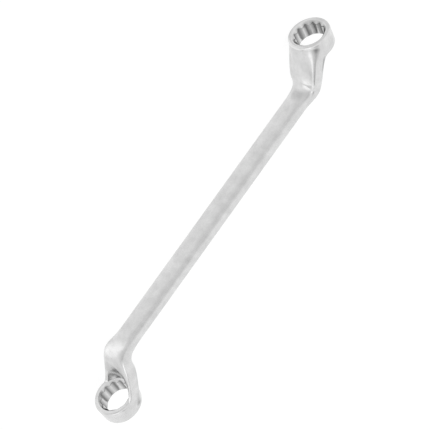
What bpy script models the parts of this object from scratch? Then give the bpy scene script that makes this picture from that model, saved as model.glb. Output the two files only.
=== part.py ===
# Double-ended ring spanner, forged in one piece: a straight shank, a cranked neck at each end and
# a ring head on each neck with a twelve-point opening. It lies on its side, on the walls of both
# rings: +X runs along the line of the rings towards the small ring, and +Y is the rings' axis.

import math

import bmesh
import bpy
from mathutils import Matrix, Vector

# Openings: across flats, nut size plus the clearance that lets the spanner slip on.
SMALL_ACROSS_FLATS = 0.01615
LARGE_ACROSS_FLATS = 0.01715
# Radius of the circle where the lead-in cone meets the ring's face.
SMALL_LEAD_RADIUS = 0.01035
LARGE_LEAD_RADIUS = 0.0107

# Ring heads.
SMALL_RING_RADIUS = 0.0128
LARGE_RING_RADIUS = 0.0132
SMALL_RING_HEIGHT = 0.0115
LARGE_RING_HEIGHT = 0.0118
# The rim of each face is rounded off.
NUT_RIM_WIDTH = 0.001
NUT_RIM_DEPTH = 0.0014
BACK_RIM_WIDTH = 0.0012
BACK_RIM_DEPTH = 0.0013
# Height above the ring's middle plane of the arch where the neck leaves the wall.
SHOULDER_HEIGHT = 0.0043
# How far outside the lead-in the neck's inner face rises from the back face.
LAND_MARGIN = 0.00025

# Necks: where the neck's centre line starts, seen from the ring's axis, and how far it runs to
# the corner where it meets the shank's centre line.
SMALL_NECK_FOOT = 0.0073
LARGE_NECK_FOOT = 0.0076
SMALL_NECK_LENGTH = 0.0274
LARGE_NECK_LENGTH = 0.0321
SMALL_NECK_WIDTH = 0.0204
LARGE_NECK_WIDTH = 0.0229
SMALL_NECK_THICKNESS = 0.0093
LARGE_NECK_THICKNESS = 0.009
BEND_RADIUS = 0.0104
# How far the neck's surface keeps the direction of what it leaves before it turns to the other:
# the crease on its centre line, the ring's wall and back face at its sides, and the bend.
CREASE_REACH = 0.0008
SIDE_REACH = 0.0045
FACE_REACH = 0.0035
BEND_REACH = 0.0051
# How far beyond the bend the neck's section takes to become the shank's.
RUN_OUT = 0.008
# How much thicker the bend is in its middle, on its outside.
BEND_SWELL = 0.0008

# Shank, measured between the corners of its centre line.
SHANK_LENGTH = 0.1921
SHANK_WIDTH = 0.0158
SHANK_THICKNESS = 0.0069

# Angles: the neck and the shank against the plane of the rings.
NECK_LEAN = math.radians(72)
SHANK_LEAN = math.radians(12.5)

# Shape of the sections: rounded rectangles, x^p + y^p = 1, squarer in the neck than in the shank.
# The arch where the neck leaves the ring's wall follows the same kind of curve.
NECK_POWER = 4.8
SHANK_POWER = 2.6
ARCH_POWER = 2.4
# How far round the section the wall's last column lies, in eighths of a turn. The section's
# corners are at 1 and 3.
WALL_TURN = 2.7

# How finely the round forms are divided. The neck takes the columns of the ring's wall on either
# side of its centre line, and fewer of them where it leaves the back face.
COLUMNS = 60
NECK_COLUMNS = 14
INNER_COLUMNS = 12
RIM_STEPS = 4
LAND_STEPS = 3
WALL_STEPS = 4
NECK_STEPS = 10
BEND_STEPS = 7
RUN_STEPS = 3
SHANK_STEPS = 6
CONE_COLUMNS = 72
STAR_POINTS = 24
STATION_POWER = 1.4
FADE_POWER = 4


def clear_scene():
    for found in list(bpy.data.objects):
        bpy.data.objects.remove(found, do_unlink=True)


def satin_chrome():
    plating = bpy.data.materials.new("satin_chrome")
    plating.use_nodes = True
    surface = plating.node_tree.nodes["Principled BSDF"]
    surface.inputs["Base Color"].default_value = (0.62, 0.62, 0.61, 1)
    surface.inputs["Metallic"].default_value = 1
    surface.inputs["Roughness"].default_value = 0.3
    return plating


def turns_round(inner_columns, wall_turn):
    """Turns of the points round the bar: from the wall's columns, edge, inner face, edge.

    The section's corners lie at the odd eighths of a turn. The wall's last column lies so many
    eighths from the middle of the nut side. The number of points is always the same.
    """
    eighth = math.pi / 4
    beside = RIM_STEPS + LAND_STEPS - 1 - (inner_columns - INNER_COLUMNS)
    edge = [(3 - wall_turn) * point / (beside + 1) for point in range(1, beside + 1)]
    turns = []
    for column in range(-NECK_COLUMNS, NECK_COLUMNS + 1):
        share = column / NECK_COLUMNS
        turns.append(share + (wall_turn - 1) * share**3)
    turns += [wall_turn + point for point in edge]
    turns += [4 + column / inner_columns for column in range(-inner_columns, inner_columns + 1)]
    turns += [5 + point for point in edge]
    return [eighth * turn for turn in turns]


NECK_TURNS = turns_round(INNER_COLUMNS, WALL_TURN)
SHANK_TURNS = turns_round(NECK_COLUMNS, 1)


def bar_section(centre, lean, width, thickness, power, turns):
    """The bar's outline set square to a centre line that leans so much from the ring's plane."""
    across = Vector((0, width / 2, 0))
    outward = Vector((math.sin(lean), 0, math.cos(lean))) * thickness / 2
    points = []
    for turn in turns:
        lateral, depth = math.sin(turn), math.cos(turn)
        reach = (abs(lateral) ** power + abs(depth) ** power) ** (-1 / power)
        points.append(centre + (lateral * across + depth * outward) * reach)
    return points


def nut_rim(radius, height):
    """Rows (radius, level) of the rim round the nut face, from the face to the wall."""
    rows = []
    for step in range(RIM_STEPS + 1):
        turn = math.pi / 2 * step / RIM_STEPS
        reach = radius - NUT_RIM_WIDTH * (1 - math.sin(turn))
        rows.append((reach, height / 2 - NUT_RIM_DEPTH * (1 - math.cos(turn))))
    return rows


def back_rows(radius, height, land_radius):
    """Rows (radius, level, columns taken by the neck) from the wall over the rim and back face."""
    rows = []
    for step in range(RIM_STEPS + 1):
        turn = math.pi / 2 * step / RIM_STEPS
        reach = radius - BACK_RIM_WIDTH * (1 - math.cos(turn))
        level = BACK_RIM_DEPTH * (1 - math.sin(turn)) - height / 2
        rows.append((reach, level, NECK_COLUMNS))
    outer = radius - BACK_RIM_WIDTH
    for step in range(1, LAND_STEPS + 1):
        reach = outer + (land_radius - outer) * step / LAND_STEPS
        taken = NECK_COLUMNS + round((INNER_COLUMNS - NECK_COLUMNS) * step / LAND_STEPS)
        rows.append((reach, -height / 2, taken))
    return rows


def shoulder_level(column, height):
    """Where the wall ends: on an arch over the neck, and at the back rim all round the rest."""
    low = BACK_RIM_DEPTH - height / 2
    if abs(column) >= NECK_COLUMNS:
        return low
    arch = (1 - abs(column / NECK_COLUMNS) ** ARCH_POWER) ** (1 / ARCH_POWER)
    return low + (SHOULDER_HEIGHT - low) * arch


def ring_point(reach, column, level):
    angle = column * 2 * math.pi / COLUMNS
    return Vector((reach * math.cos(angle), reach * math.sin(angle), level))


def neck_starts(ring, along):
    """Points round the opening that the neck leaves from, each with the way its surface sets off."""
    radius, height, land_radius = ring
    rows = back_rows(radius, height, land_radius)

    def heading(share):
        """From the neck's own way, at the middle, to straight out from the ring, at the sides."""
        return along.lerp(Vector((1, 0, 0)), share).normalized()

    def glide(column, share):
        """That way, as far as the ring's wall allows it."""
        radial = ring_point(1, column, 0)
        return (heading(share) - heading(share).dot(radial) * radial).normalized()

    def side_points(side):
        points = []
        for row, (reach, level, taken) in enumerate(rows[1:-1], start=1):
            length = SIDE_REACH + (FACE_REACH - SIDE_REACH) * row / (len(rows) - 1)
            points.append((ring_point(reach, side * taken, level), heading(1) * length))
        return points

    starts = []
    for column in range(-NECK_COLUMNS, NECK_COLUMNS + 1):
        share = (column / NECK_COLUMNS) ** FADE_POWER
        length = CREASE_REACH + (SIDE_REACH - CREASE_REACH) * share
        point = ring_point(radius, column, shoulder_level(column, height))
        starts.append((point, glide(column, share) * length))
    starts += side_points(1)
    for column in range(INNER_COLUMNS, -INNER_COLUMNS - 1, -1):
        share = (column / INNER_COLUMNS) ** FADE_POWER
        length = CREASE_REACH + (FACE_REACH - CREASE_REACH) * share
        starts.append((ring_point(land_radius, column, -height / 2), heading(share) * length))
    starts += reversed(side_points(-1))
    return starts


def neck_sections(starts, along, bend_start, width, thickness):
    """Sections from the ring to the bend, round it, and on to where the shank's own section starts."""
    bend_length = BEND_RADIUS * (NECK_LEAN - SHANK_LEAN)
    run_length = bend_length + RUN_OUT
    pace = 2 / run_length

    def run_out(centre, lean, travelled):
        share = 1 - (1 - travelled / run_length) ** 2
        swell = 0
        if travelled < bend_length:
            swell = BEND_SWELL * math.sin(math.pi * travelled / bend_length) ** 2
        inward = Vector((-math.sin(lean), 0, -math.cos(lean)))
        return bar_section(
            centre + inward * swell / 2,
            lean,
            width + (SHANK_WIDTH - width) * share,
            thickness + (SHANK_THICKNESS - thickness) * share + swell,
            NECK_POWER + (SHANK_POWER - NECK_POWER) * share,
            [a + (b - a) * share for a, b in zip(NECK_TURNS, SHANK_TURNS)],
        )

    ends = run_out(bend_start, NECK_LEAN, 0)
    taper = bar_section(
        Vector(), NECK_LEAN, SHANK_WIDTH - width, SHANK_THICKNESS - thickness, NECK_POWER, NECK_TURNS
    )
    sections = []
    for station in range(1, NECK_STEPS + 1):
        share = (station / NECK_STEPS) ** STATION_POWER
        rest = 1 - share
        points = []
        for (start, slide), end, drift in zip(starts, ends, taper):
            points.append(
                rest**3 * start
                + 3 * rest**2 * share * (start + slide)
                + 3 * rest * share**2 * (end - (along + drift * pace) * BEND_REACH)
                + share**3 * end
            )
        sections.append(points)

    pivot = bend_start + BEND_RADIUS * Vector((math.sin(NECK_LEAN), 0, math.cos(NECK_LEAN)))
    for step in range(1, BEND_STEPS + 1):
        lean = NECK_LEAN + (SHANK_LEAN - NECK_LEAN) * step / BEND_STEPS
        centre = pivot - BEND_RADIUS * Vector((math.sin(lean), 0, math.cos(lean)))
        sections.append(run_out(centre, lean, bend_length * step / BEND_STEPS))
    onward = Vector((math.cos(SHANK_LEAN), 0, -math.sin(SHANK_LEAN)))
    for step in range(1, RUN_STEPS + 1):
        travelled = RUN_OUT * step / RUN_STEPS
        sections.append(run_out(centre + onward * travelled, SHANK_LEAN, bend_length + travelled))
    return sections


def add_ring(forging, ring, place):
    """Adds the ring, solid for now; returns the loop of points that its neck leaves from."""
    radius, height, land_radius = ring
    grid = []
    for reach, level in nut_rim(radius, height):
        grid.append([ring_point(reach, column, level) for column in range(COLUMNS)])
    top = height / 2 - NUT_RIM_DEPTH
    for step in range(1, WALL_STEPS + 1):
        row = []
        for column in range(COLUMNS):
            nearest = min(column, COLUMNS - column)
            low = shoulder_level(nearest, height)
            row.append(ring_point(radius, column, top + (low - top) * step / WALL_STEPS))
        grid.append(row)
    arch = len(grid) - 1
    back = back_rows(radius, height, land_radius)
    for reach, level, _ in back[1:]:
        grid.append([ring_point(reach, column, level) for column in range(COLUMNS)])
    last = len(grid) - 1
    taken = [0] * arch + [columns for _, _, columns in back]

    made = {}
    for row, points in enumerate(grid):
        for column, point in enumerate(points):
            beside = min(column, COLUMNS - column)
            if row <= arch or row == last or beside >= taken[row]:
                made[row, column] = forging.verts.new(place @ point)
    for row in range(last):
        for column in range(taken[row], COLUMNS - taken[row]):
            beyond = (column + 1) % COLUMNS
            forging.faces.new(
                (made[row, column], made[row, beyond], made[row + 1, beyond], made[row + 1, column])
            )
        if row >= arch and taken[row + 1] < taken[row]:
            for side in (1, -1):
                fan = range(taken[row + 1], taken[row] + 1)
                corner = made[row, side * taken[row] % COLUMNS]
                forging.faces.new([corner] + [made[row + 1, side * column % COLUMNS] for column in fan])
    for row in (0, last):
        forging.faces.new([made[row, column] for column in range(COLUMNS)])

    between = range(arch + 1, last)
    loop = [made[arch, column % COLUMNS] for column in range(-NECK_COLUMNS, NECK_COLUMNS + 1)]
    loop += [made[row, taken[row]] for row in between]
    loop += [made[last, column % COLUMNS] for column in range(INNER_COLUMNS, -INNER_COLUMNS - 1, -1)]
    loop += [made[row, COLUMNS - taken[row]] for row in reversed(between)]
    return loop


def add_end(forging, ring, neck, heading):
    """Adds a ring and its neck; returns the ring's matrix and the points of the last section."""
    foot, length, width, thickness = neck
    along = Vector((math.cos(NECK_LEAN), 0, -math.sin(NECK_LEAN)))
    corner = Vector((foot, 0, 0)) + along * length
    bend_start = corner - along * BEND_RADIUS * math.tan((NECK_LEAN - SHANK_LEAN) / 2)
    shank_end = Vector((math.cos(SHANK_LEAN), math.sin(SHANK_LEAN), 0)) * SHANK_LENGTH / 2
    axes = Matrix(((-heading, 0, 0), (0, 0, heading), (0, 1, 0))).to_4x4()
    place = Matrix.Translation(heading * shank_end - axes.to_3x3() @ corner) @ axes

    loop = add_ring(forging, ring, place)
    starts = neck_starts(ring, along)
    for points in neck_sections(starts, along, bend_start, width, thickness):
        beyond = [forging.verts.new(place @ point) for point in points]
        bridge(forging, loop, beyond)
        loop = beyond
    return place, loop


def bridge(forging, first, second):
    count = len(first)
    for index in range(count):
        beyond = (index + 1) % count
        forging.faces.new((first[index], first[beyond], second[beyond], second[index]))


def add_shank(forging, first, second):
    """Joins the two ends. The second one is turned over, so its points count the other way."""
    count = len(second)
    opposite = 2 * NECK_COLUMNS + count // 2
    turned = [second[(opposite - index) % count] for index in range(count)]
    loop = first
    for step in range(1, SHANK_STEPS):
        share = step / SHANK_STEPS
        beyond = [forging.verts.new(a.co.lerp(b.co, share)) for a, b in zip(first, turned)]
        bridge(forging, loop, beyond)
        loop = beyond
    bridge(forging, loop, turned)


def object_from(name, built, place=None):
    if place is not None:
        bmesh.ops.transform(built, matrix=place, verts=built.verts)
    bmesh.ops.recalc_face_normals(built, faces=built.faces)
    mesh = bpy.data.meshes.new(name)
    built.to_mesh(mesh)
    built.free()
    made = bpy.data.objects.new(name, mesh)
    bpy.context.scene.collection.objects.link(made)
    return made


def star_broach(name, across_flats, height, place):
    """The twelve-point prism that cuts the opening: two hexagons turned by 30 degrees."""
    built = bmesh.new()
    rings = []
    for level in (-height, height):
        ring = []
        for point in range(STAR_POINTS):
            spread = math.radians(30 if point % 2 == 0 else 15)
            angle = point * 2 * math.pi / STAR_POINTS
            reach = across_flats / 2 / math.cos(spread)
            ring.append(built.verts.new((reach * math.cos(angle), reach * math.sin(angle), level)))
        rings.append(ring)
        built.faces.new(ring)
    bridge(built, *rings)
    return object_from(name, built, place)


def lead_in(name, lead_radius, height, place):
    """Two cones at 45 degrees that widen the opening at both faces."""
    built = bmesh.new()
    waist = lead_radius / 2
    mouth = LAND_MARGIN / 2
    profile = (
        (lead_radius + mouth, height / 2 + LAND_MARGIN),
        (lead_radius + mouth, height / 2 + mouth),
        (waist, height / 2 - lead_radius + waist),
        (waist, -height / 2 + lead_radius - waist),
        (lead_radius + mouth, -height / 2 - mouth),
        (lead_radius + mouth, -height / 2 - LAND_MARGIN),
    )
    rings = []
    for reach, level in profile:
        ring = []
        for column in range(CONE_COLUMNS):
            angle = (column + 0.5) * 2 * math.pi / CONE_COLUMNS
            ring.append(built.verts.new((reach * math.cos(angle), reach * math.sin(angle), level)))
        rings.append(ring)
    for first, second in zip(rings, rings[1:]):
        bridge(built, first, second)
    built.faces.new(rings[0])
    built.faces.new(rings[-1])
    return object_from(name, built, place)


def cut(blank, cutter):
    cutter.hide_render = True
    cutter.display_type = "WIRE"
    modifier = blank.modifiers.new(cutter.name, "BOOLEAN")
    modifier.operation = "DIFFERENCE"
    modifier.solver = "EXACT"
    modifier.object = cutter


def stand_on_floor(forging, places):
    """Moves the forging so that the middle of its box's underside is the origin."""
    low = [min(vertex.co[axis] for vertex in forging.verts) for axis in range(3)]
    high = [max(vertex.co[axis] for vertex in forging.verts) for axis in range(3)]
    shift = Matrix.Translation((-(low[0] + high[0]) / 2, -(low[1] + high[1]) / 2, -low[2]))
    bmesh.ops.transform(forging, matrix=shift, verts=forging.verts)
    return [shift @ place for place in places]


def build():
    clear_scene()
    forging = bmesh.new()
    small_place, small_loop = add_end(
        forging,
        (SMALL_RING_RADIUS, SMALL_RING_HEIGHT, SMALL_LEAD_RADIUS + LAND_MARGIN),
        (SMALL_NECK_FOOT, SMALL_NECK_LENGTH, SMALL_NECK_WIDTH, SMALL_NECK_THICKNESS),
        1,
    )
    large_place, large_loop = add_end(
        forging,
        (LARGE_RING_RADIUS, LARGE_RING_HEIGHT, LARGE_LEAD_RADIUS + LAND_MARGIN),
        (LARGE_NECK_FOOT, LARGE_NECK_LENGTH, LARGE_NECK_WIDTH, LARGE_NECK_THICKNESS),
        -1,
    )
    add_shank(forging, small_loop, large_loop)
    small_place, large_place = stand_on_floor(forging, (small_place, large_place))
    spanner = object_from("ring_spanner", forging)
    spanner.data.materials.append(satin_chrome())
    cut(spanner, star_broach("small_broach", SMALL_ACROSS_FLATS, SMALL_RING_HEIGHT, small_place))
    cut(spanner, lead_in("small_lead_in", SMALL_LEAD_RADIUS, SMALL_RING_HEIGHT, small_place))
    cut(spanner, star_broach("large_broach", LARGE_ACROSS_FLATS, LARGE_RING_HEIGHT, large_place))
    cut(spanner, lead_in("large_lead_in", LARGE_LEAD_RADIUS, LARGE_RING_HEIGHT, large_place))
    spanner.data.shade_smooth()
    spanner.data.set_sharp_from_angle(angle=math.radians(35))


build()
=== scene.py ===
# %% [markdown]
# Ring spanner: how the look is built.
#
# The object is one forging, plated all over: a straight shank, a cranked neck at each end and a
# ring head on each neck. The CAD solid has the right form in about nine thousand triangles,
# which is coarse for a shiny surface, because a reflection shows every facet. So this script
# rebuilds the same form from the same sizes with many more, smaller faces and with rounded edges,
# and lets it stand for the CAD node.

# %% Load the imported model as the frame
import math

import bmesh
import bpy
import numpy as np
from mathutils import Matrix, Vector


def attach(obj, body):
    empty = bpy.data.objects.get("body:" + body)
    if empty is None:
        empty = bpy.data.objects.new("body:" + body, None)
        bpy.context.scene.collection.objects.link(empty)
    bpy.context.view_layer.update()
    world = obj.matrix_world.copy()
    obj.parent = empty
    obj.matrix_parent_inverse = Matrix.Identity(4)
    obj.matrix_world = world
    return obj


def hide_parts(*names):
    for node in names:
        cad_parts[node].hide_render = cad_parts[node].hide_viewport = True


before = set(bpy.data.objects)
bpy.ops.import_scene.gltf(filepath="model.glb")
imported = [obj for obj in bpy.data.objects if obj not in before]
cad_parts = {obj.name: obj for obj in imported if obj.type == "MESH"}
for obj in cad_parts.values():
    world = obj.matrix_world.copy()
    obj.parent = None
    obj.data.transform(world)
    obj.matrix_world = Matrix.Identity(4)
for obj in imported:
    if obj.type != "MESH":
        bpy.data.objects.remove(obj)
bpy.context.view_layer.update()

# %% [markdown]
# A spanner is named for the nuts that it turns, here 16 and 17 millimetres, and its two ends differ
# only a little in size. So both ends are made by the same functions from two sets of sizes. The
# sizes are the CAD's own, in metres. Where the CAD has a step count, this script has a finer one,
# so the outline stays where it is and only the facets go.

# %% Sizes of the two ends
# "lead_radius" is the mouth of the cone that leads a nut into the opening. The neck's middle line
# starts at the "foot", so far from the ring's axis, and has its "length" up to the shank's middle
# line. "width" and "thickness" are the neck's where the bend starts. "heading" says which end of
# the shank the head stands at.
SMALL = {
    "across_flats": 0.01615,
    "lead_radius": 0.01035,
    "radius": 0.0128,
    "height": 0.0115,
    "foot": 0.0073,
    "length": 0.0274,
    "width": 0.0204,
    "thickness": 0.0093,
    "heading": 1,
}
LARGE = {
    "across_flats": 0.01715,
    "lead_radius": 0.0107,
    "radius": 0.0132,
    "height": 0.0118,
    "foot": 0.0076,
    "length": 0.0321,
    "width": 0.0229,
    "thickness": 0.009,
    "heading": -1,
}
print("Rings' diameters in mm:", [round(head["radius"] * 2000, 1) for head in (SMALL, LARGE)])

# %% [markdown]
# A ring head is round, so every row of points on it is a circle, and a head is a stack of circles
# with the same number of points. The rim rows follow a quarter of an ellipse, which gives the soft
# edge that polishing leaves on a forging. A Bevel modifier would round the rims too, but it makes
# its own points, and the neck needs rows whose points it can count.

# %% Circles, the nut side's rim and the lead-in edges
COLUMNS = 240
RIM_STEPS = 9
NUT_RIM_WIDTH = 0.001
NUT_RIM_DEPTH = 0.0014
EDGE_STEPS = 4
# The rounded edge of an opening takes this much of the ring's face, and as much of the cone.
LAND_MARGIN = 0.00025
CONE_MARGIN = LAND_MARGIN * math.sqrt(0.5)


def ring_point(reach, column, level):
    angle = column * 2 * math.pi / COLUMNS
    return (reach * math.cos(angle), reach * math.sin(angle), level)


def nut_rim_rows(head):
    """Rows (radius, level) from the nut side's face over the rim to the wall."""
    rows = []
    for step in range(RIM_STEPS + 1):
        turn = math.pi / 2 * step / RIM_STEPS
        reach = head["radius"] - NUT_RIM_WIDTH * (1 - math.sin(turn))
        rows.append((reach, head["height"] / 2 - NUT_RIM_DEPTH * (1 - math.cos(turn))))
    return rows


def edge_rows(head, side):
    """Rows (radius, level) of the edge between the lead-in cone and a face, from cone to face.

    The side is 1 for the nut side and -1 for the back.
    """
    rows = []
    for step in range(EDGE_STEPS + 1):
        share = step / EDGE_STEPS
        inward = (1 - share) ** 2 * CONE_MARGIN
        reach = head["lead_radius"] - inward + share**2 * LAND_MARGIN
        rows.append((reach, side * (head["height"] / 2 - inward)))
    return rows


print("Points round a head:", COLUMNS, "and rows over a rim:", len(nut_rim_rows(SMALL)))

# %% [markdown]
# On the back the neck takes part of the ring: an arch across the wall, a stretch of the back rim
# and the land round the lead-in. A Boolean could join two whole solids there, but it leaves a sharp
# line where a forging flows, and a ragged mesh. So the ring's faces leave a gap there, and the neck
# is later sewn to the gap's edge point by point.

# %% The back rim and the part that the neck takes
NECK_COLUMNS = 56
INNER_COLUMNS = 48
LAND_STEPS = 8
BACK_RIM_WIDTH = 0.0012
BACK_RIM_DEPTH = 0.0013
SHOULDER_HEIGHT = 0.0043
ARCH_POWER = 2.4


def back_rows(head):
    """Rows (radius, level, columns the neck takes) from the wall over the rim and the back face."""
    rows = []
    for step in range(RIM_STEPS + 1):
        turn = math.pi / 2 * step / RIM_STEPS
        reach = head["radius"] - BACK_RIM_WIDTH * (1 - math.cos(turn))
        level = BACK_RIM_DEPTH * (1 - math.sin(turn)) - head["height"] / 2
        rows.append((reach, level, NECK_COLUMNS))
    outer = head["radius"] - BACK_RIM_WIDTH
    inner = head["lead_radius"] + LAND_MARGIN
    for step in range(1, LAND_STEPS + 1):
        share = step / LAND_STEPS
        taken = NECK_COLUMNS + round((INNER_COLUMNS - NECK_COLUMNS) * share)
        rows.append((outer + (inner - outer) * share, -head["height"] / 2, taken))
    return rows


def shoulder_level(column, height):
    """How high the arch stands on the wall at a column, which is counted from the middle."""
    low = BACK_RIM_DEPTH - height / 2
    if abs(column) >= NECK_COLUMNS:
        return low
    arch = (1 - abs(column / NECK_COLUMNS) ** ARCH_POWER) ** (1 / ARCH_POWER)
    return low + (SHOULDER_HEIGHT - low) * arch


print("The neck takes", 2 * NECK_COLUMNS + 1, "of the", COLUMNS, "points round the wall")

# %% [markdown]
# The bar's section is a rounded rectangle. It is drawn as a superellipse, where one power says how
# square it is: the neck is nearly square and the shank well rounded. A section has as many points
# as the edge of the gap in the ring, and they are shared out so that the corners of the one meet
# the corners of the other. Otherwise the surface between them would twist.

# %% Section of the bar
NECK_POWER = 4.8
SHANK_POWER = 2.6
# Turns round the section are counted in eighths from the middle of the nut side. Its corners lie
# at 1, 3, 5 and 7, and the last of the wall's columns at this turn of the neck.
WALL_TURN = 2.7


def wall_turns(share, wall_turn):
    """Where the wall's columns lie: the nut side's face takes most of them."""
    return share + (wall_turn - 1) * share**3


def turns_round(inner_columns, wall_turn):
    """Turns of the points round the bar: from the wall's columns, edge, inner face, edge.

    The number of points is always the same.
    """
    beside = RIM_STEPS + LAND_STEPS - 1 - (inner_columns - INNER_COLUMNS)
    wall = wall_turns(np.arange(-NECK_COLUMNS, NECK_COLUMNS + 1) / NECK_COLUMNS, wall_turn)
    edge = (3 - wall_turn) * np.arange(1, beside + 1) / (beside + 1)
    inner = 4 + np.arange(-inner_columns, inner_columns + 1) / inner_columns
    return math.pi / 4 * np.concatenate((wall, wall_turn + edge, inner, 5 + edge))


def along_bar(lean):
    """The way along the bar, from the ring to the shank."""
    return np.array((math.cos(lean), 0, -math.sin(lean)))


def out_of_bar(lean):
    """The way out of the bar's nut side."""
    return np.array((math.sin(lean), 0, math.cos(lean)))


def bar_section(centre, lean, width, thickness, power, turns):
    lateral, depth = np.sin(turns), np.cos(turns)
    reach = (np.abs(lateral) ** power + np.abs(depth) ** power) ** (-1 / power)
    across = np.array((0, 1, 0)) * width / 2
    outward = out_of_bar(lean) * thickness / 2
    return centre + np.outer(lateral * reach, across) + np.outer(depth * reach, outward)


NECK_TURNS = turns_round(INNER_COLUMNS, WALL_TURN)
SHANK_TURNS = turns_round(NECK_COLUMNS, 1)
print("Points round the bar:", len(NECK_TURNS), "at the neck and", len(SHANK_TURNS), "at the shank")

# %% [markdown]
# In the die the hot metal of the neck flows out of the ring without a step. To get that look, each
# point of the gap's edge says not only where the neck starts but also which way it sets off: along
# the neck in the middle of a side, and straight out from the ring towards the corners. On the wall
# that way is laid flat, so the two surfaces share it.

# %% Where the neck sets off from the ring
NECK_LEAN = math.radians(72)
ALONG_NECK = along_bar(NECK_LEAN)
# How far a curve runs its first way before it turns: in the crease at the middle of a side, at the
# corners on the wall and at the corners on the back. The fade goes from the crease to a corner.
CREASE_REACH = 0.0008
SIDE_REACH = 0.0045
FACE_REACH = 0.0035
FADE_POWER = 4
# The back corners of the neck set off this much along the neck and not straight out. The CAD has 0
# here, so beside the rings these corners are up to about a millimetre fuller than the solid's.
BACK_CORNER = 0.65


def unit(way):
    return way / np.linalg.norm(way)


def set_off(share):
    """From the neck's own way, at 0, to straight out from the ring, at 1."""
    return unit(ALONG_NECK * (1 - share) + np.array((1, 0, 0)) * share)


def glide(column, share):
    """That way, as far as the ring's wall allows it."""
    way = set_off(share)
    radial = np.array(ring_point(1, column, 0))
    return unit(way - way.dot(radial) * radial)


def arch_starts(head):
    starts = []
    for column in range(-NECK_COLUMNS, NECK_COLUMNS + 1):
        share = (column / NECK_COLUMNS) ** FADE_POWER
        length = CREASE_REACH + (SIDE_REACH - CREASE_REACH) * share
        level = shoulder_level(column, head["height"])
        starts.append((ring_point(head["radius"], column, level), glide(column, share) * length))
    return starts


def side_starts(head, side):
    rows = back_rows(head)
    starts = []
    for number, (reach, level, taken) in enumerate(rows[1:-1], start=1):
        share = number / (len(rows) - 1)
        length = SIDE_REACH + (FACE_REACH - SIDE_REACH) * share
        way = set_off(1 - BACK_CORNER * share)
        starts.append((ring_point(reach, side * taken, level), way * length))
    return starts


def land_starts(head):
    starts = []
    reach, level, _ = back_rows(head)[-1]
    for column in range(INNER_COLUMNS, -INNER_COLUMNS - 1, -1):
        share = (column / INNER_COLUMNS) ** FADE_POWER
        length = CREASE_REACH + (FACE_REACH - CREASE_REACH) * share
        way = set_off(share * (1 - BACK_CORNER))
        starts.append((ring_point(reach, column, level), way * length))
    return starts


def neck_starts(head):
    """Points round the gap, and how far and which way the neck's surface sets off from each."""
    starts = arch_starts(head) + side_starts(head, 1) + land_starts(head)
    starts += side_starts(head, -1)[::-1]
    return np.array([point for point, _ in starts]), np.array([slide for _, slide in starts])


print("Points round the neck's start:", len(neck_starts(SMALL)[0]))

# %% [markdown]
# The neck is bent hot, and the metal swells a little on the outside of the bend. A bevelled Curve
# could sweep a bar along a path, but not let it grow out of a ring. So each point runs from the
# ring along its own cubic curve to its place in the bar's section, and then round the bend. There
# and a little beyond it the neck's section runs out into the shank's.

# %% Neck, bend and run-out
NECK_STEPS = 36
BEND_STEPS = 18
RUN_STEPS = 12
# Above 1 the sections lie closer together beside the ring, where the surface turns most.
STATION_POWER = 1.4
SHANK_LEAN = math.radians(12.5)
SHANK_WIDTH = 0.0158
SHANK_THICKNESS = 0.0069
BEND_RADIUS = 0.0104
BEND_REACH = 0.0051
BEND_SWELL = 0.0008
BEND_LENGTH = BEND_RADIUS * (NECK_LEAN - SHANK_LEAN)
# The section goes on changing so far past the bend, and changes over both lengths.
RUN_OUT = 0.008
CHANGE_LENGTH = BEND_LENGTH + RUN_OUT


def changing_section(head, centre, lean, travelled):
    """The bar's section so far past the start of the bend."""
    share = 1 - (1 - travelled / CHANGE_LENGTH) ** 2
    swell = 0
    if travelled < BEND_LENGTH:
        swell = BEND_SWELL * math.sin(math.pi * travelled / BEND_LENGTH) ** 2
    return bar_section(
        centre - out_of_bar(lean) * swell / 2,
        lean,
        head["width"] + (SHANK_WIDTH - head["width"]) * share,
        head["thickness"] + (SHANK_THICKNESS - head["thickness"]) * share + swell,
        NECK_POWER + (SHANK_POWER - NECK_POWER) * share,
        NECK_TURNS + (SHANK_TURNS - NECK_TURNS) * share,
    )


def neck_curves(head, bend_start):
    starts, slides = neck_starts(head)
    ends = changing_section(head, bend_start, NECK_LEAN, 0)
    narrowing = SHANK_WIDTH - head["width"]
    thinning = SHANK_THICKNESS - head["thickness"]
    taper = bar_section(np.zeros(3), NECK_LEAN, narrowing, thinning, NECK_POWER, NECK_TURNS)
    arrival = (ALONG_NECK + taper * 2 / CHANGE_LENGTH) * BEND_REACH
    sections = []
    for station in range(1, NECK_STEPS + 1):
        share = (station / NECK_STEPS) ** STATION_POWER
        rest = 1 - share
        sections.append(
            rest**3 * starts
            + 3 * rest**2 * share * (starts + slides)
            + 3 * rest * share**2 * (ends - arrival)
            + share**3 * ends
        )
    return sections


def bend_sections(head, bend_start):
    pivot = bend_start + BEND_RADIUS * out_of_bar(NECK_LEAN)
    sections = []
    for step in range(1, BEND_STEPS + 1):
        lean = NECK_LEAN + (SHANK_LEAN - NECK_LEAN) * step / BEND_STEPS
        centre = pivot - BEND_RADIUS * out_of_bar(lean)
        sections.append(changing_section(head, centre, lean, BEND_LENGTH * step / BEND_STEPS))
    for step in range(1, RUN_STEPS + 1):
        travelled = RUN_OUT * step / RUN_STEPS
        place = centre + along_bar(SHANK_LEAN) * travelled
        sections.append(changing_section(head, place, SHANK_LEAN, BEND_LENGTH + travelled))
    return sections


def neck_sections(head):
    """All sections from the ring to the shank, and where the neck's and shank's lines cross."""
    corner = np.array((head["foot"], 0, 0)) + ALONG_NECK * head["length"]
    bend_start = corner - ALONG_NECK * BEND_RADIUS * math.tan((NECK_LEAN - SHANK_LEAN) / 2)
    return neck_curves(head, bend_start) + bend_sections(head, bend_start), corner


print("Sections of an end:", len(neck_sections(SMALL)[0]))
print("Length of a bend in mm:", round(BEND_LENGTH * 1000, 1))

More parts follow.
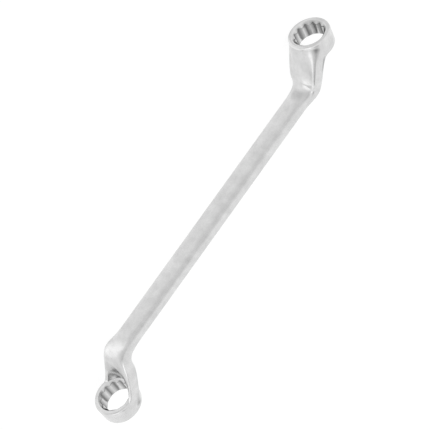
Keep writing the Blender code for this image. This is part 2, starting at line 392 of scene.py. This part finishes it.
# %% [markdown]
# The two ends of this spanner face opposite ways, so it is an S seen from the side. Each end is
# made round its own ring's axis and then put at its end of the shank with a turn and a shift.

# %% Placing an end
SHANK_LENGTH = 0.1921


def head_place(head, corner):
    """Where a head's own axes go: its ring axis along +Y or -Y, its neck towards the middle."""
    heading = head["heading"]
    reach = heading * SHANK_LENGTH / 2
    axes = np.array(((-heading, 0, 0), (0, 0, heading), (0, 1, 0)), float)
    shank_end = np.array((math.cos(SHANK_LEAN), math.sin(SHANK_LEAN), 0)) * reach
    return axes, shank_end - axes @ corner


for head in (SMALL, LARGE):
    ring_centre = head_place(head, neck_sections(head)[1])[1]
    print("Centre of a ring in mm:", [round(value * 1000, 1) for value in ring_centre])

# %% [markdown]
# Painted highlight and painted shade follow the form. A painted highlight brightens the outside of
# the bend and the edge above its hollow. Painted shade darkens the crook between ring and neck, and
# the hollow. So the marks are kept with the points, as a painted-highlight and a painted-shade
# number that the material reads. An image could hold them too, but it would need the surface laid
# out flat.
# Each mark is a strength and the windows that it lies in, all with soft edges, so that none of them
# ends in a line.

# %% Painted highlight and painted shade
# Eighths of a turn round the bar, from the middle of the nut side, with and without their side.
EIGHTHS = NECK_TURNS / (math.pi / 4)
FROM_FACE = np.abs((EIGHTHS + 4) % 8 - 4)
# The painted marks lie askew over the neck's back: by so many sections for each eighth from its
# middle.
MARK_SLANT = 5
BACK_MIDDLE = 4
BACK = ("from face", 3.1, 5, 0.4)
CROOK = ("from face", 0.95, 1.6, 0.5)

# A mark is (strength, window, window ...), and a window (what is measured, from, to, softness).
# "turn" is in eighths round the bar and "from face" the same without its sign. "section" counts
# from the ring. "bend" and "slanted bend" go from 0 to 1 through the bend, straight and askew.
# "wall" goes from 0 to 1 down the ring's wall.
NECK_PAINTED_HIGHLIGHT = (
    # Painted highlight on the outside of the bend, and on the edge above its hollow.
    (1.2, BACK, ("belt", 0.36, 0.86, 0.5)),
    (1, ("turn", 0.25, 1.15, 0.3), ("bend", -0.3, 0.4, 0.25)),
)
NECK_PAINTED_SHADE = (
    # Painted shade in the crook between ring and neck, the streak that runs on from it, and the
    # bend's hollow.
    (0.8, CROOK, ("section", -10, 12, 12)),
    (0.3, ("turn", 0.95, 1.3, 0.25), ("section", 15, 32, 8)),
    (0.35, ("from face", -1, 0.9, 0.8), ("bend", 0.75, 1.3, 0.35)),
    # Painted shade in two bands across the neck's back, between the bend's painted highlight and
    # the ring.
    (0.18, BACK, ("belt", -0.15, 0.28, 0.12)),
    (0.45, BACK, ("belt", -0.75, -0.15, 0.14)),
)
# On the ring's wall: a painted highlight over the neck's middle, and painted shade in the crook.
WALL_PAINTED_HIGHLIGHT = ((0.6, ("turn", -1, 0.8, 0.5)),)
WALL_PAINTED_SHADE = ((0.8, CROOK, ("wall", 0.6, 2, 0.5)),)


def window(value, start, stop, soft):
    """1 between start and stop and 0 beyond them, with a ramp of the soft width round each."""
    return np.clip((value - start) / soft + 0.5, 0, 1) * np.clip((stop - value) / soft + 0.5, 0, 1)


def marked(marks, measures):
    """The sum of the marks, each of them as strong as all its windows let it be."""
    total = 0
    for strength, *windows in marks:
        for name, start, stop, soft in windows:
            strength = strength * window(measures[name], start, stop, soft)
        total = total + strength
    return total


def neck_painted_light(number):
    """Painted highlight and painted shade values round a section, which is counted from the ring.
    """
    askew = number + MARK_SLANT * (EIGHTHS - BACK_MIDDLE)
    measures = {
        "turn": EIGHTHS,
        "from face": FROM_FACE,
        "section": number,
        "bend": (number - NECK_STEPS) / BEND_STEPS,
        "belt": (askew - NECK_STEPS) / BEND_STEPS,
    }
    return marked(NECK_PAINTED_HIGHLIGHT, measures), marked(NECK_PAINTED_SHADE, measures)


def wall_painted_light(share):
    """The same round the ring's wall, at a share of the way from the nut side's rim to the neck."""
    column = np.arange(COLUMNS)
    turn = wall_turns(np.minimum(column, COLUMNS - column) / NECK_COLUMNS, WALL_TURN)
    measures = {"turn": turn, "from face": turn, "wall": share}
    return marked(WALL_PAINTED_HIGHLIGHT, measures), marked(WALL_PAINTED_SHADE, measures)


# Painted highlight and painted shade half-way round the bend.
bend_rubbed, bend_shade = neck_painted_light(NECK_STEPS + BEND_STEPS // 2)
print("Brightest rubbing half-way round the bend:", round(float(bend_rubbed.max()), 2))
print("Dullest place there:", round(float(bend_shade.max()), 2))

# %% [markdown]
# The spanner is one piece of steel, so its mesh is one closed skin too. It is kept as rows of
# points, and a face always joins two neighbouring rows. That way no two parts overlap, and the
# reflections run on from the ring over the neck to the shank.

# %% A skin made of rows
class Skin:
    def __init__(self):
        self.points, self.faces, self.rubbed, self.painted_shade = [], [], [], []

    # Each point keeps a painted-highlight and a painted-shade number.
    def row(self, points, rubbed=0.0, painted_shade=0.0):
        """Adds points and returns their numbers."""
        first = len(self.points)
        self.points.extend(tuple(point) for point in points)
        self.rubbed.extend(np.broadcast_to(rubbed, len(points)).tolist())
        self.painted_shade.extend(np.broadcast_to(painted_shade, len(points)).tolist())
        return list(range(first, first + len(points)))

    def bridge(self, first, second):
        """Joins two closed rows of the same length."""
        count = len(first)
        for index in range(count):
            beyond = (index + 1) % count
            self.faces.append((first[index], first[beyond], second[beyond], second[index]))


skin = Skin()
print("The skin starts with", len(skin.points), "points")

# %% [markdown]
# Now the rows of a ring head are laid down, from the lead-in on the nut side over face, rim and
# wall to the lead-in on the back. The wall's rows end on the arch, so they bend over the neck. The
# rims and the edges of the lead-in get a painted highlight, a little brighter than the faces.

# %% Rows and faces of a ring head
FACE_STEPS = 4
WALL_STEPS = 14
# Painted highlight on the rims and on the edges of the lead-in.
RIM_PAINTED_HIGHLIGHT = 0.05
LEAD_IN_PAINTED_HIGHLIGHT = 0.25


def ring_rows(skin, head, placed):
    """Rows of a ring head, and half the columns of the gap in each of them up to the land's end."""
    def circle(reach, level, *painted_marks):
        points = [ring_point(reach, column, level) for column in range(COLUMNS)]
        return skin.row(placed(points), *painted_marks)

    nut_edge, nut_rim = edge_rows(head, 1), nut_rim_rows(head)
    rows = [circle(*row, LEAD_IN_PAINTED_HIGHLIGHT) for row in nut_edge]
    inner, outer = nut_edge[-1][0], nut_rim[0][0]
    for step in range(1, FACE_STEPS):
        rows.append(circle(inner + (outer - inner) * step / FACE_STEPS, head["height"] / 2))
    rows += [circle(*row, RIM_PAINTED_HIGHLIGHT + wall_painted_light(0)[0]) for row in nut_rim]

    top = nut_rim[-1][1]
    for step in range(1, WALL_STEPS + 1):
        share = step / WALL_STEPS
        points = []
        for column in range(COLUMNS):
            low = shoulder_level(min(column, COLUMNS - column), head["height"])
            points.append(ring_point(head["radius"], column, top + (low - top) * share))
        rows.append(skin.row(placed(points), *wall_painted_light(share)))

    back = back_rows(head)
    taken = [0] * (len(rows) - 1) + [columns for _, _, columns in back]
    for step, (reach, level, _) in enumerate(back[1:], start=1):
        rows.append(circle(reach, level, RIM_PAINTED_HIGHLIGHT if step < RIM_STEPS else 0.0))
    rows += [circle(*row, LEAD_IN_PAINTED_HIGHLIGHT) for row in edge_rows(head, -1)[-2::-1]]
    return rows, taken


def ring_faces(skin, rows, taken):
    """Faces between the rows, except in the gap, which narrows here and there by a few columns."""
    last = len(taken) - 1
    for number, (first, second) in enumerate(zip(rows, rows[1:])):
        limit = taken[number] if number < last else 0
        for column in range(limit, COLUMNS - limit):
            beyond = (column + 1) % COLUMNS
            skin.faces.append((first[column], first[beyond], second[beyond], second[column]))
        if number < last and taken[number + 1] < limit:
            for side in (1, -1):
                columns = range(taken[number + 1], limit + 1)
                fan = [second[side * column % COLUMNS] for column in columns]
                skin.faces.append((first[side * limit % COLUMNS], *fan))


def gap_edge(rows, taken):
    """Numbers of the points round the gap, in the order of the neck's starts."""
    arch, last = taken.index(NECK_COLUMNS), len(taken) - 1
    between = range(arch + 1, last)
    loop = [rows[arch][column % COLUMNS] for column in range(-NECK_COLUMNS, NECK_COLUMNS + 1)]
    loop += [rows[number][taken[number]] for number in between]
    land = range(INNER_COLUMNS, -INNER_COLUMNS - 1, -1)
    loop += [rows[last][column % COLUMNS] for column in land]
    loop += [rows[number][COLUMNS - taken[number]] for number in reversed(between)]
    return loop


print("Rows down a wall:", WALL_STEPS)

# %% [markdown]
# Neck and bend are sewn to the ring section by section, and then the shank joins the two ends. The
# second end is turned over against the first, so its points have to be counted the other way.

# %% Sewing the spanner together
SHANK_STEPS = 24


def add_end(skin, head):
    """A ring head with its neck and bend; returns the last section's points and its place."""
    sections, corner = neck_sections(head)
    axes, offset = head_place(head, corner)

    def placed(points):
        return np.asarray(points) @ axes.T + offset

    rows, taken = ring_rows(skin, head, placed)
    ring_faces(skin, rows, taken)
    loop = gap_edge(rows, taken)
    for number, points in enumerate(sections):
        beyond = skin.row(placed(points), *neck_painted_light(number))
        skin.bridge(loop, beyond)
        loop = beyond
    return loop, (axes, offset)


def add_shank(skin, first, second):
    count = len(second)
    opposite = 2 * NECK_COLUMNS + count // 2
    turned = [second[(opposite - index) % count] for index in range(count)]
    start = np.array([skin.points[index] for index in first])
    stop = np.array([skin.points[index] for index in turned])
    loop = first
    for step in range(1, SHANK_STEPS):
        beyond = skin.row(start + (stop - start) * step / SHANK_STEPS)
        skin.bridge(loop, beyond)
        loop = beyond
    skin.bridge(loop, turned)


small_loop, small_place = add_end(skin, SMALL)
large_loop, large_place = add_end(skin, LARGE)
add_shank(skin, small_loop, large_loop)
print("Skin without the openings:", len(skin.points), "points,", len(skin.faces), "faces")

# %% [markdown]
# Materials and Geometry Nodes are both made of nodes, so one small function adds a node of any kind
# with its settings and links. Colours are written as sRGB hex, as a paint chart gives them, and
# shaders calculate in linear light, so a second function turns the one into the other.

# %% Helpers for nodes and colours
def add_node(tree, kind, settings=None, **links):
    """One node: settings are its properties, links its inputs by name or by _number."""
    made = tree.nodes.new(kind)
    for name, value in (settings or {}).items():
        setattr(made, name, value)
    for name, value in links.items():
        known = int(name[1:]) if name[0] == "_" else name.replace("_", " ")
        if isinstance(value, bpy.types.NodeSocket):
            tree.links.new(value, made.inputs[known])
        else:
            made.inputs[known].default_value = value
    return made


def linear(code):
    """A colour given as sRGB hex, as the linear values that shaders use."""
    parts = [int(code[index:index + 2], 16) / 255 for index in (1, 3, 5)]
    plain = [part / 12.92 if part <= 0.04045 else ((part + 0.055) / 1.055) ** 2.4 for part in parts]
    return (*plain, 1.0)


WHITE = linear("#ffffff")
print("Half-bright grey #808080 is", round(linear("#808080")[0], 3), "in linear light")

# %% [markdown]
# Satin chrome on forged chrome-vanadium steel. The plate is neutral grey and copies the fine grain
# left by blasting and belt polishing, so a reflection is soft but present. The colour stays near 85
# percent grey, because bright plating takes its look from what stands round it, here a pale
# studio. Three painted marks lie over it, each from its own vertex attribute: a painted highlight
# on the bends and edges, painted shade in the crook and the bend's hollow, and painted shade in
# the points of the openings' flutes.

# %% Sizes and colours of the chrome
def pattern_scale(millimetres):
    """The scale of a noise texture whose patches have about this size."""
    return 1000 / millimetres


# A noise texture has a scale, a detail and a roughness.
# Cloudy polish: patches of about 6 mm where the belt pressed harder.
CLOUDS = (pattern_scale(6.25), 4.0, 0.6)
# Hammer waves: the forging's faces swell and dip by a few hundredths over 5 to 10 mm.
WAVES = (pattern_scale(20 / 3), 1.0, 0.4)
WAVE_BUMP = {"Strength": 0.3, "Distance": 0.0006}
# Blast grain: real grains are about 0.05 mm, drawn at 0.25 mm so that they show.
GRAIN = (pattern_scale(0.25), 3.0, 0.6)
GRAIN_BUMP = {"Strength": 0.06, "Distance": 0.00004}
# The noise stays near its middle, so these parts of it are stretched to the full range.
CLOUD_RANGE = {"_1": 0.3, "_2": 0.7}
# The painted highlights are patchy too, so that none of them ends in a line.
PAINTED_HIGHLIGHT_RANGE = {"_1": 0.35, "_2": 0.55, "_3": 0.55, "_4": 1.0}
ROUGHNESS_RANGE = {"_3": 0.17, "_4": 0.27}
PLATE_DARKER, PLATE_LIGHTER = linear("#d0d0d0"), linear("#e2e2e2")
PAINTED_HIGHLIGHT_COLOUR = linear("#f8f8f8")
# Painted shade: the darker colour laid into the crook, the bend's hollow and bands on the neck's
# back.
PAINTED_SHADE_COLOUR = linear("#9a9a9a")
# Painted shade: the darker colour laid down into the points of the openings' flutes.
FLUTE_SHADE_COLOUR = linear("#7a7a7a")
print("Noise scales:", [round(pattern[0]) for pattern in (CLOUDS, WAVES, GRAIN)])

# %% [markdown]
# The colour is built up in layers, each mixed over the last by one share: cloudy plate, then the
# painted highlight, the painted shade and the painted shade in the flutes. The same clouds drive
# the roughness, so that tone and gloss change together: the lighter patches are a little rougher,
# as the belt leaves them.
# Two bumps follow, a long and a fine one. They are bumps and not real form, since even the waves
# are only hundredths of a millimetre.

# %% The satin chrome material
def satin_chrome():
    surface = bpy.data.materials.new("satin chrome plate")
    surface.use_nodes = True
    tree = surface.node_tree
    shader = tree.nodes["Principled BSDF"]
    shader.inputs["Metallic"].default_value = 1.0
    place = add_node(tree, "ShaderNodeTexCoord").outputs["Object"]

    def noise(scale, detail, roughness):
        kind = {"Scale": scale, "Detail": detail, "Roughness": roughness}
        return add_node(tree, "ShaderNodeTexNoise", Vector=place, **kind).outputs["Fac"]

    def stretched(value, **limits):
        return add_node(tree, "ShaderNodeMapRange", Value=value, **limits).outputs["Result"]

    def mark(name):
        return add_node(tree, "ShaderNodeAttribute", {"attribute_name": name}).outputs["Fac"]

    def mixed(share, first, second):
        node = add_node(tree, "ShaderNodeMix", {"data_type": "RGBA"}, _0=share, _6=first, _7=second)
        return node.outputs[2]

    clouds = noise(*CLOUDS)
    colour = mixed(stretched(clouds, **CLOUD_RANGE), PLATE_DARKER, PLATE_LIGHTER)
    # Painted highlight, patchy with the clouds, then painted shade, then painted shade in the
    # flutes.
    share = stretched(clouds, **PAINTED_HIGHLIGHT_RANGE)
    product = {"operation": "MULTIPLY", "use_clamp": True}
    rubbed = add_node(tree, "ShaderNodeMath", product, _0=mark("rubbed"), _1=share).outputs[0]
    colour = mixed(rubbed, colour, PAINTED_HIGHLIGHT_COLOUR)
    colour = mixed(mark("painted_shade"), colour, PAINTED_SHADE_COLOUR)
    colour = mixed(mark("flute_shade"), colour, FLUTE_SHADE_COLOUR)
    tree.links.new(colour, shader.inputs["Base Color"])
    tree.links.new(stretched(clouds, **ROUGHNESS_RANGE), shader.inputs["Roughness"])
    waves = add_node(tree, "ShaderNodeBump", Height=noise(*WAVES), **WAVE_BUMP).outputs[0]
    grain = add_node(
        tree, "ShaderNodeBump", Height=noise(*GRAIN), Normal=waves, **GRAIN_BUMP
    ).outputs[0]
    tree.links.new(grain, shader.inputs["Normal"])
    return surface


chrome = satin_chrome()
print("Material:", chrome.name, "with", len(chrome.node_tree.nodes), "nodes")

# %% [markdown]
# A twelve-point opening is two hexagons turned by 30 degrees, and the lead-in is a cone at 45
# degrees. Both are rules: at each angle and depth the wall stands at the larger of two radii. That
# suits Geometry Nodes: one grid is rolled into a tube, and the rule sets each point's radius. The
# larger-of-two is a soft one, which rounds the edges as a worn broach does. One tree makes both
# openings, with their own sizes.

# %% The twelve-point opening as a Geometry Nodes tree
OPENING_ROWS = 56
POINT_ANGLE = math.radians(30)
# A broach's teeth are a little round. For the flutes' points and for the edges between them: the
# angle from a point at which the rounding sets in, and how soft it is.
POINT_ROUND = (math.radians(0.6), math.radians(1.6))
EDGE_ROUND = (math.radians(14.6), math.radians(1.2))


def opening_tree(surface):
    tree = bpy.data.node_groups.new("Twelve-point opening", "GeometryNodeTree")
    for name in ("Across Flats", "Depth", "Lead Radius", "Softness"):
        tree.interface.new_socket(name, in_out="INPUT", socket_type="NodeSocketFloat")
    tree.interface.new_socket("Opening", in_out="OUTPUT", socket_type="NodeSocketGeometry")
    sizes = tree.nodes.new("NodeGroupInput").outputs

    def maths(operation, *values):
        links = {f"_{index}": value for index, value in enumerate(values)}
        return add_node(tree, "ShaderNodeMath", {"operation": operation}, **links).outputs[0]

    counts = {"_2": COLUMNS + 1, "_3": OPENING_ROWS + 1}
    grid = add_node(tree, "GeometryNodeMeshGrid", _0=1.0, _1=1.0, **counts).outputs["Mesh"]
    place = add_node(tree, "GeometryNodeInputPosition").outputs[0]
    across, down = add_node(tree, "ShaderNodeSeparateXYZ", _0=place).outputs[:2]
    angle = maths("MULTIPLY", maths("ADD", across, 0.5), 2 * math.pi)
    half = maths("DIVIDE", sizes["Depth"], 2.0)
    # The sine puts more rows near the two faces, where the lead-in cone cuts the flutes.
    level = maths("MULTIPLY", maths("SINE", maths("MULTIPLY", down, math.pi)), half)

    fold = maths("PINGPONG", angle, POINT_ANGLE / 2)
    fold = maths("SMOOTH_MAX", fold, *POINT_ROUND)
    fold = maths("SMOOTH_MIN", fold, *EDGE_ROUND)
    slant = maths("COSINE", maths("SUBTRACT", POINT_ANGLE, fold))
    flats = maths("DIVIDE", maths("DIVIDE", sizes["Across Flats"], 2.0), slant)
    depth = maths("SUBTRACT", half, maths("ABSOLUTE", level))
    cone = maths("SUBTRACT", sizes["Lead Radius"], depth)
    reach = maths("SMOOTH_MAX", flats, cone, sizes["Softness"])

    east = maths("MULTIPLY", reach, maths("COSINE", angle))
    north = maths("MULTIPLY", reach, maths("SINE", angle))
    rolled = add_node(tree, "ShaderNodeCombineXYZ", _0=east, _1=north, _2=level).outputs[0]
    tube = add_node(tree, "GeometryNodeSetPosition", Geometry=grid, Position=rolled).outputs[0]
    real = add_node(tree, "GeometryNodeRealizeInstances", _0=tube).outputs[0]
    dressed = add_node(tree, "GeometryNodeSetMaterial", Geometry=real, Material=surface)
    tree.links.new(dressed.outputs[0], tree.nodes.new("NodeGroupOutput").inputs[0])
    return tree


opening = opening_tree(chrome)
print("Opening tree:", len(opening.nodes), "nodes")

# %% [markdown]
# A modifier runs the tree with one opening's sizes. An input is set by its socket's identifier,
# which stays the same when somebody renames the socket. The result is turned into a plain mesh,
# because it still has to be joined to the skin.

# %% One opening as a plain mesh
FLUTE_SOFTNESS = 0.00025


def opening_mesh(tree, head):
    """The opening's wall round its own axis. It stops where the faces' rounded edges start."""
    holder = bpy.data.objects.new("opening", bpy.data.meshes.new("opening"))
    bpy.context.scene.collection.objects.link(holder)
    wall = holder.modifiers.new("opening", "NODES")
    wall.node_group = tree
    wanted = {
        "Across Flats": head["across_flats"],
        "Depth": head["height"] - 2 * CONE_MARGIN,
        "Lead Radius": head["lead_radius"] - CONE_MARGIN,
        "Softness": FLUTE_SOFTNESS,
    }
    for item in tree.interface.items_tree:
        if item.in_out == "INPUT":
            wall[item.identifier] = wanted[item.name]
    graph = bpy.context.evaluated_depsgraph_get()
    made = bpy.data.meshes.new_from_object(holder.evaluated_get(graph), depsgraph=graph)
    holder.modifiers.remove(wall)
    bpy.data.objects.remove(holder, do_unlink=True)
    return made


walls = [opening_mesh(opening, head) for head in (SMALL, LARGE)]
print("Faces of the openings' walls:", [len(wall.polygons) for wall in walls])

# %% [markdown]
# A broach cuts the flutes last. They get painted shade towards their points. It fades in over the
# lead-in cone, from one depth to another, and from the edge between two flutes to the point of a
# flute. It becomes the third number on the points.

# %% How much painted shade a point of an opening gets
FLUTE_FADE_START = 0.0003
FLUTE_FADE_LENGTH = 0.0009
# Radii, as shares of half the width across flats: they go from 1.035 to 1.155.
FLUTE_START = 1.035
FLUTE_SPAN = 0.12


def flute_shade_share(head, point):
    depth = head["height"] / 2 - abs(point.z)
    turned = math.atan2(point.y, point.x) % POINT_ANGLE
    slant = POINT_ANGLE - min(turned, POINT_ANGLE - turned)
    flute = (1 / math.cos(slant) - FLUTE_START) / FLUTE_SPAN
    fade = (depth - FLUTE_FADE_START) / FLUTE_FADE_LENGTH
    return min(max(fade, 0), 1) * min(max(flute, 0), 1)


# Painted shade at a flute's point and at the edge between two flutes.
for name, reach in (("point", 0.0), ("edge", POINT_ANGLE / 2)):
    spot = Vector((math.cos(reach), math.sin(reach), 0))
    print("Broached at a flute's", name + ":", round(flute_shade_share(SMALL, spot), 2))

# %% [markdown]
# Skin and openings now become one closed mesh. Where they meet, both have a point at the same
# place, and merging these closes the seams. The ring's own points in the gap belong to no face, so
# they go. A closed mesh matters twice: the reflections run on over the edges, and the piece can be
# saved as a solid. Last the mesh is moved to where the CAD's frame has its origin, the middle of
# the underside.
#
# Euler's count is a quick test: in a closed mesh, points minus edges plus faces is 2, less 2 for
# each hole that goes through. With its two openings a ring spanner has to give -2.

# %% Closing the spanner's mesh
MERGE_DISTANCE = 0.000002


def spanner_mesh():
    skin_mesh = bpy.data.meshes.new("spanner")
    skin_mesh.from_pydata(skin.points, [], skin.faces)
    whole = bmesh.new()
    layers = whole.verts.layers.float
    # Three numbers on the points: painted highlight, painted shade, and painted shade in the
    # flutes.
    rubbed, painted_shade, flute_shade = [layers.new(name) for name in ("rubbed", "painted_shade", "flute_shade")]
    whole.from_mesh(skin_mesh)
    for vertex, bright, dark in zip(whole.verts, skin.rubbed, skin.painted_shade):
        vertex[rubbed], vertex[painted_shade] = bright, dark
    for head, wall, (axes, offset) in zip((SMALL, LARGE), walls, (small_place, large_place)):
        before = len(whole.verts)
        whole.from_mesh(wall)
        whole.verts.ensure_lookup_table()
        turn = Matrix([list(line) for line in axes])
        for vertex in whole.verts[before:]:
            vertex[flute_shade] = flute_shade_share(head, vertex.co)
            vertex.co = turn @ vertex.co + Vector(offset)
    bmesh.ops.remove_doubles(whole, verts=whole.verts, dist=MERGE_DISTANCE)
    loose = [vertex for vertex in whole.verts if not vertex.link_faces]
    bmesh.ops.delete(whole, geom=loose, context="VERTS")
    bmesh.ops.recalc_face_normals(whole, faces=whole.faces)
    for face in whole.faces:
        face.smooth = True
        face.material_index = 0
    low = [min(vertex.co[axis] for vertex in whole.verts) for axis in range(3)]
    high = [max(vertex.co[axis] for vertex in whole.verts) for axis in range(3)]
    shift = Vector((-(low[0] + high[0]) / 2, -(low[1] + high[1]) / 2, -low[2]))
    bmesh.ops.translate(whole, verts=whole.verts, vec=shift)
    open_edges = sum(1 for edge in whole.edges if len(edge.link_faces) != 2)
    count = len(whole.verts) - len(whole.edges) + len(whole.faces)
    print("Closed mesh:", len(whole.verts), "points,", open_edges, "open edges, count", count)
    made = bpy.data.meshes.new("spanner_body")
    whole.to_mesh(made)
    whole.free()
    made.materials.append(chrome)
    return made


body = bpy.data.objects.new("spanner_body", spanner_mesh())
bpy.context.scene.collection.objects.link(body)
print("Faces of the spanner:", len(body.data.polygons))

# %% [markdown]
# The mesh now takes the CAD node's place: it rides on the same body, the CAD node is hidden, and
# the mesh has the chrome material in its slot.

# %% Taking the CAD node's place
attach(body, "root")
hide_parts("ring_spanner")
print("Piece:", body.name, "with material", body.data.materials[0].name)

# %% [markdown]
# The studio is white all round for the camera, as for a catalogue picture: a white floor that
# keeps a faint shadow, and a white world. A shiny plate shows its surroundings more than its own
# colour, so the floor and the world have a second, slightly darker face that only reflections see:
# paper that gets less light towards the camera, the dim room behind the camera, and one small dark
# card over the far side. A single weak softbox adds a broad highlight.

# %% Helpers for the studio
def smooth_share(tree, value, start, stop):
    """0 before start and 1 after stop, with a soft passage between."""
    soft = {"interpolation_type": "SMOOTHSTEP"}
    limits = {"_1": start, "_2": stop}
    return add_node(tree, "ShaderNodeMapRange", soft, Value=value, **limits).outputs["Result"]


def along_way(tree, place, way):
    """How far a place or a direction lies along the given way."""
    product = {"operation": "DOT_PRODUCT"}
    return add_node(tree, "ShaderNodeVectorMath", product, _0=place, _1=way).outputs["Value"]


def towards(azimuth, elevation):
    """A direction: the azimuth turns from +Y to +X."""
    turn, rise = math.radians(azimuth), math.radians(elevation)
    return (math.sin(turn) * math.cos(rise), math.cos(turn) * math.cos(rise), math.sin(rise))


print("Straight up is", [round(value, 3) for value in towards(0, 90)])

# %% [markdown]
# White seamless paper is matt, so it takes the spanner's shadow. The camera also sees a glow of its
# own on it, which brings the paper up to white without more light on the spanner. Reflections see
# another glow, which falls off within a few centimetres from the shank towards the camera.

# %% Floor
FLOOR_REACH = 3.0
PAPER = linear("#8c8c8c")
CAMERA_GLOW = 0.87
MIRRORED_FAR, MIRRORED_NEAR = 0.86, 0.66
FALL_LENGTH = 0.07


def studio_floor():
    mesh = bpy.data.meshes.new("studio_floor")
    corners = [(-1, -1), (1, -1), (1, 1), (-1, 1)]
    points = [(east * FLOOR_REACH, north * FLOOR_REACH, 0) for east, north in corners]
    mesh.from_pydata(points, [], [(0, 1, 2, 3)])
    paper = bpy.data.materials.new("white seamless paper")
    paper.use_nodes = True
    tree = paper.node_tree
    tree.nodes.clear()
    path = add_node(tree, "ShaderNodeLightPath").outputs
    place = add_node(tree, "ShaderNodeTexCoord").outputs["Object"]
    ahead = along_way(tree, place, (-math.sin(SHANK_LEAN), math.cos(SHANK_LEAN), 0))
    fall = smooth_share(tree, ahead, 0.0, FALL_LENGTH)
    limits = {"_3": MIRRORED_FAR, "_4": MIRRORED_NEAR}
    mirrored = add_node(tree, "ShaderNodeMapRange", Value=fall, **limits).outputs["Result"]
    product = {"operation": "MULTIPLY"}
    seen = add_node(tree, "ShaderNodeMath", product, _0=path["Is Camera Ray"], _1=CAMERA_GLOW)
    both = {"_0": path["Is Glossy Ray"], "_1": mirrored, "_2": seen.outputs[0]}
    strength = add_node(tree, "ShaderNodeMath", {"operation": "MULTIPLY_ADD"}, **both).outputs[0]
    matt = add_node(tree, "ShaderNodeBsdfDiffuse", Color=PAPER).outputs[0]
    glow = add_node(tree, "ShaderNodeEmission", Color=WHITE, Strength=strength).outputs[0]
    lit = add_node(tree, "ShaderNodeAddShader", _0=matt, _1=glow).outputs[0]
    add_node(tree, "ShaderNodeOutputMaterial", Surface=lit)
    floor = bpy.data.objects.new("studio_floor", mesh)
    bpy.context.scene.collection.objects.link(floor)
    mesh.materials.append(paper)
    return floor


print("Floor:", studio_floor().data.materials[0].name)

# %% [markdown]
# The world is the paper and the room beyond the floor's edge: plain white for the camera, dimmer
# for the light on matt things, and with two soft dark patches for reflections. The patches give the
# plating its grey tones, since chrome in an all-white room would look like paper.

# %% World
PLAIN_LIGHT = 0.6
# A patch is (azimuth and elevation, inner and outer radius in degrees, how much darker it is).
ROOM = ((-32, 6), 5, 40, 0.25)
CARD = ((-146, 54), 6, 16, 0.5)


def studio_world():
    world = bpy.data.worlds.new("white studio")
    bpy.context.scene.world = world
    world.use_nodes = True
    tree = world.node_tree
    tree.nodes.clear()
    path = add_node(tree, "ShaderNodeLightPath").outputs
    way = add_node(tree, "ShaderNodeTexCoord").outputs["Generated"]

    def patch(centre, inner, outer, depth):
        """1 far from the centre, and lower by the depth within so many degrees of it."""
        limits = [math.cos(math.radians(radius)) for radius in (outer, inner)]
        near = smooth_share(tree, along_way(tree, way, towards(*centre)), *limits)
        limits = {"_3": 1.0, "_4": 1.0 - depth}
        return add_node(tree, "ShaderNodeMapRange", Value=near, **limits).outputs["Result"]

    def maths(operation, *values):
        links = {f"_{index}": value for index, value in enumerate(values)}
        return add_node(tree, "ShaderNodeMath", {"operation": operation}, **links).outputs[0]

    glossy = path["Is Glossy Ray"]
    mirrored = maths("MULTIPLY", maths("MULTIPLY", patch(*ROOM), patch(*CARD)), glossy)
    limits = {"_3": PLAIN_LIGHT, "_4": 1.0}
    plain = add_node(tree, "ShaderNodeMapRange", Value=path["Is Camera Ray"], **limits)
    strength = maths("MULTIPLY_ADD", plain.outputs[0], maths("SUBTRACT", 1.0, glossy), mirrored)
    light = add_node(tree, "ShaderNodeBackground", Color=WHITE, Strength=strength).outputs[0]
    add_node(tree, "ShaderNodeOutputWorld", Surface=light)
    return world


print("World:", studio_world().name)

# %% [markdown]
# The softbox is a square lamp to the left. It is weak, about half as bright as the paper, and gives
# the faces that turn to it a broad highlight.

# %% Softbox
SOFTBOX_PLACE = [1.2 * value for value in towards(-90, 32)]
SOFTBOX_SIZE = 0.5
SOFTBOX_RADIANCE = 0.5


def softbox(place, size, radiance):
    """A square lamp that looks at the spanner's middle, as bright as it is written."""
    lamp = bpy.data.objects.new("softbox", bpy.data.lights.new("softbox", "AREA"))
    bpy.context.scene.collection.objects.link(lamp)
    lamp.data.size = size
    lamp.data.energy = radiance * math.pi * size**2
    lamp.location = place
    lamp.rotation_euler = Vector(place).to_track_quat("Z", "Y").to_euler()
    print("Softbox of", size, "m,", round(lamp.data.energy, 2), "W")


softbox(SOFTBOX_PLACE, SOFTBOX_SIZE, SOFTBOX_RADIANCE)

# %% [markdown]
# The camera was found by fitting the spanner's own shape to the photograph's outline. It looks down
# on the nut face of the small ring from the far side, and is rolled so that the shank runs from the
# lower left to the upper right.

# %% Camera
CAMERA_PLACE = (-0.1413, 0.4651, 0.4308)
CAMERA_AZIMUTH = math.radians(-162.59)
CAMERA_ELEVATION = math.radians(40.80)
CAMERA_ROLL = math.radians(122.49)
CAMERA_LENS = 91.04
CAMERA_SENSOR = 36.0
CAMERA_CLIP = 0.01


def studio_camera():
    camera = bpy.data.objects.new("camera", bpy.data.cameras.new("camera"))
    bpy.context.scene.collection.objects.link(camera)
    bpy.context.scene.camera = camera
    flat, rise = math.cos(CAMERA_ELEVATION), math.sin(CAMERA_ELEVATION)
    back = Vector((flat * math.sin(CAMERA_AZIMUTH), -flat * math.cos(CAMERA_AZIMUTH), rise))
    level = Vector((0, 0, 1)).cross(back).normalized()
    right = level * math.cos(CAMERA_ROLL) + back.cross(level) * math.sin(CAMERA_ROLL)
    axes = Matrix((right, back.cross(right), back)).transposed()
    camera.matrix_world = Matrix.Translation(CAMERA_PLACE) @ axes.to_4x4()
    camera.data.sensor_width = CAMERA_SENSOR
    camera.data.lens = CAMERA_LENS
    camera.data.clip_start = CAMERA_CLIP
    print("Camera at", [round(value, 3) for value in camera.location], "m")


studio_camera()

# %% [markdown]
# Last, the view is set to show each colour as it is written.

# %% Finish
bpy.context.scene.view_settings.view_transform = "Standard"
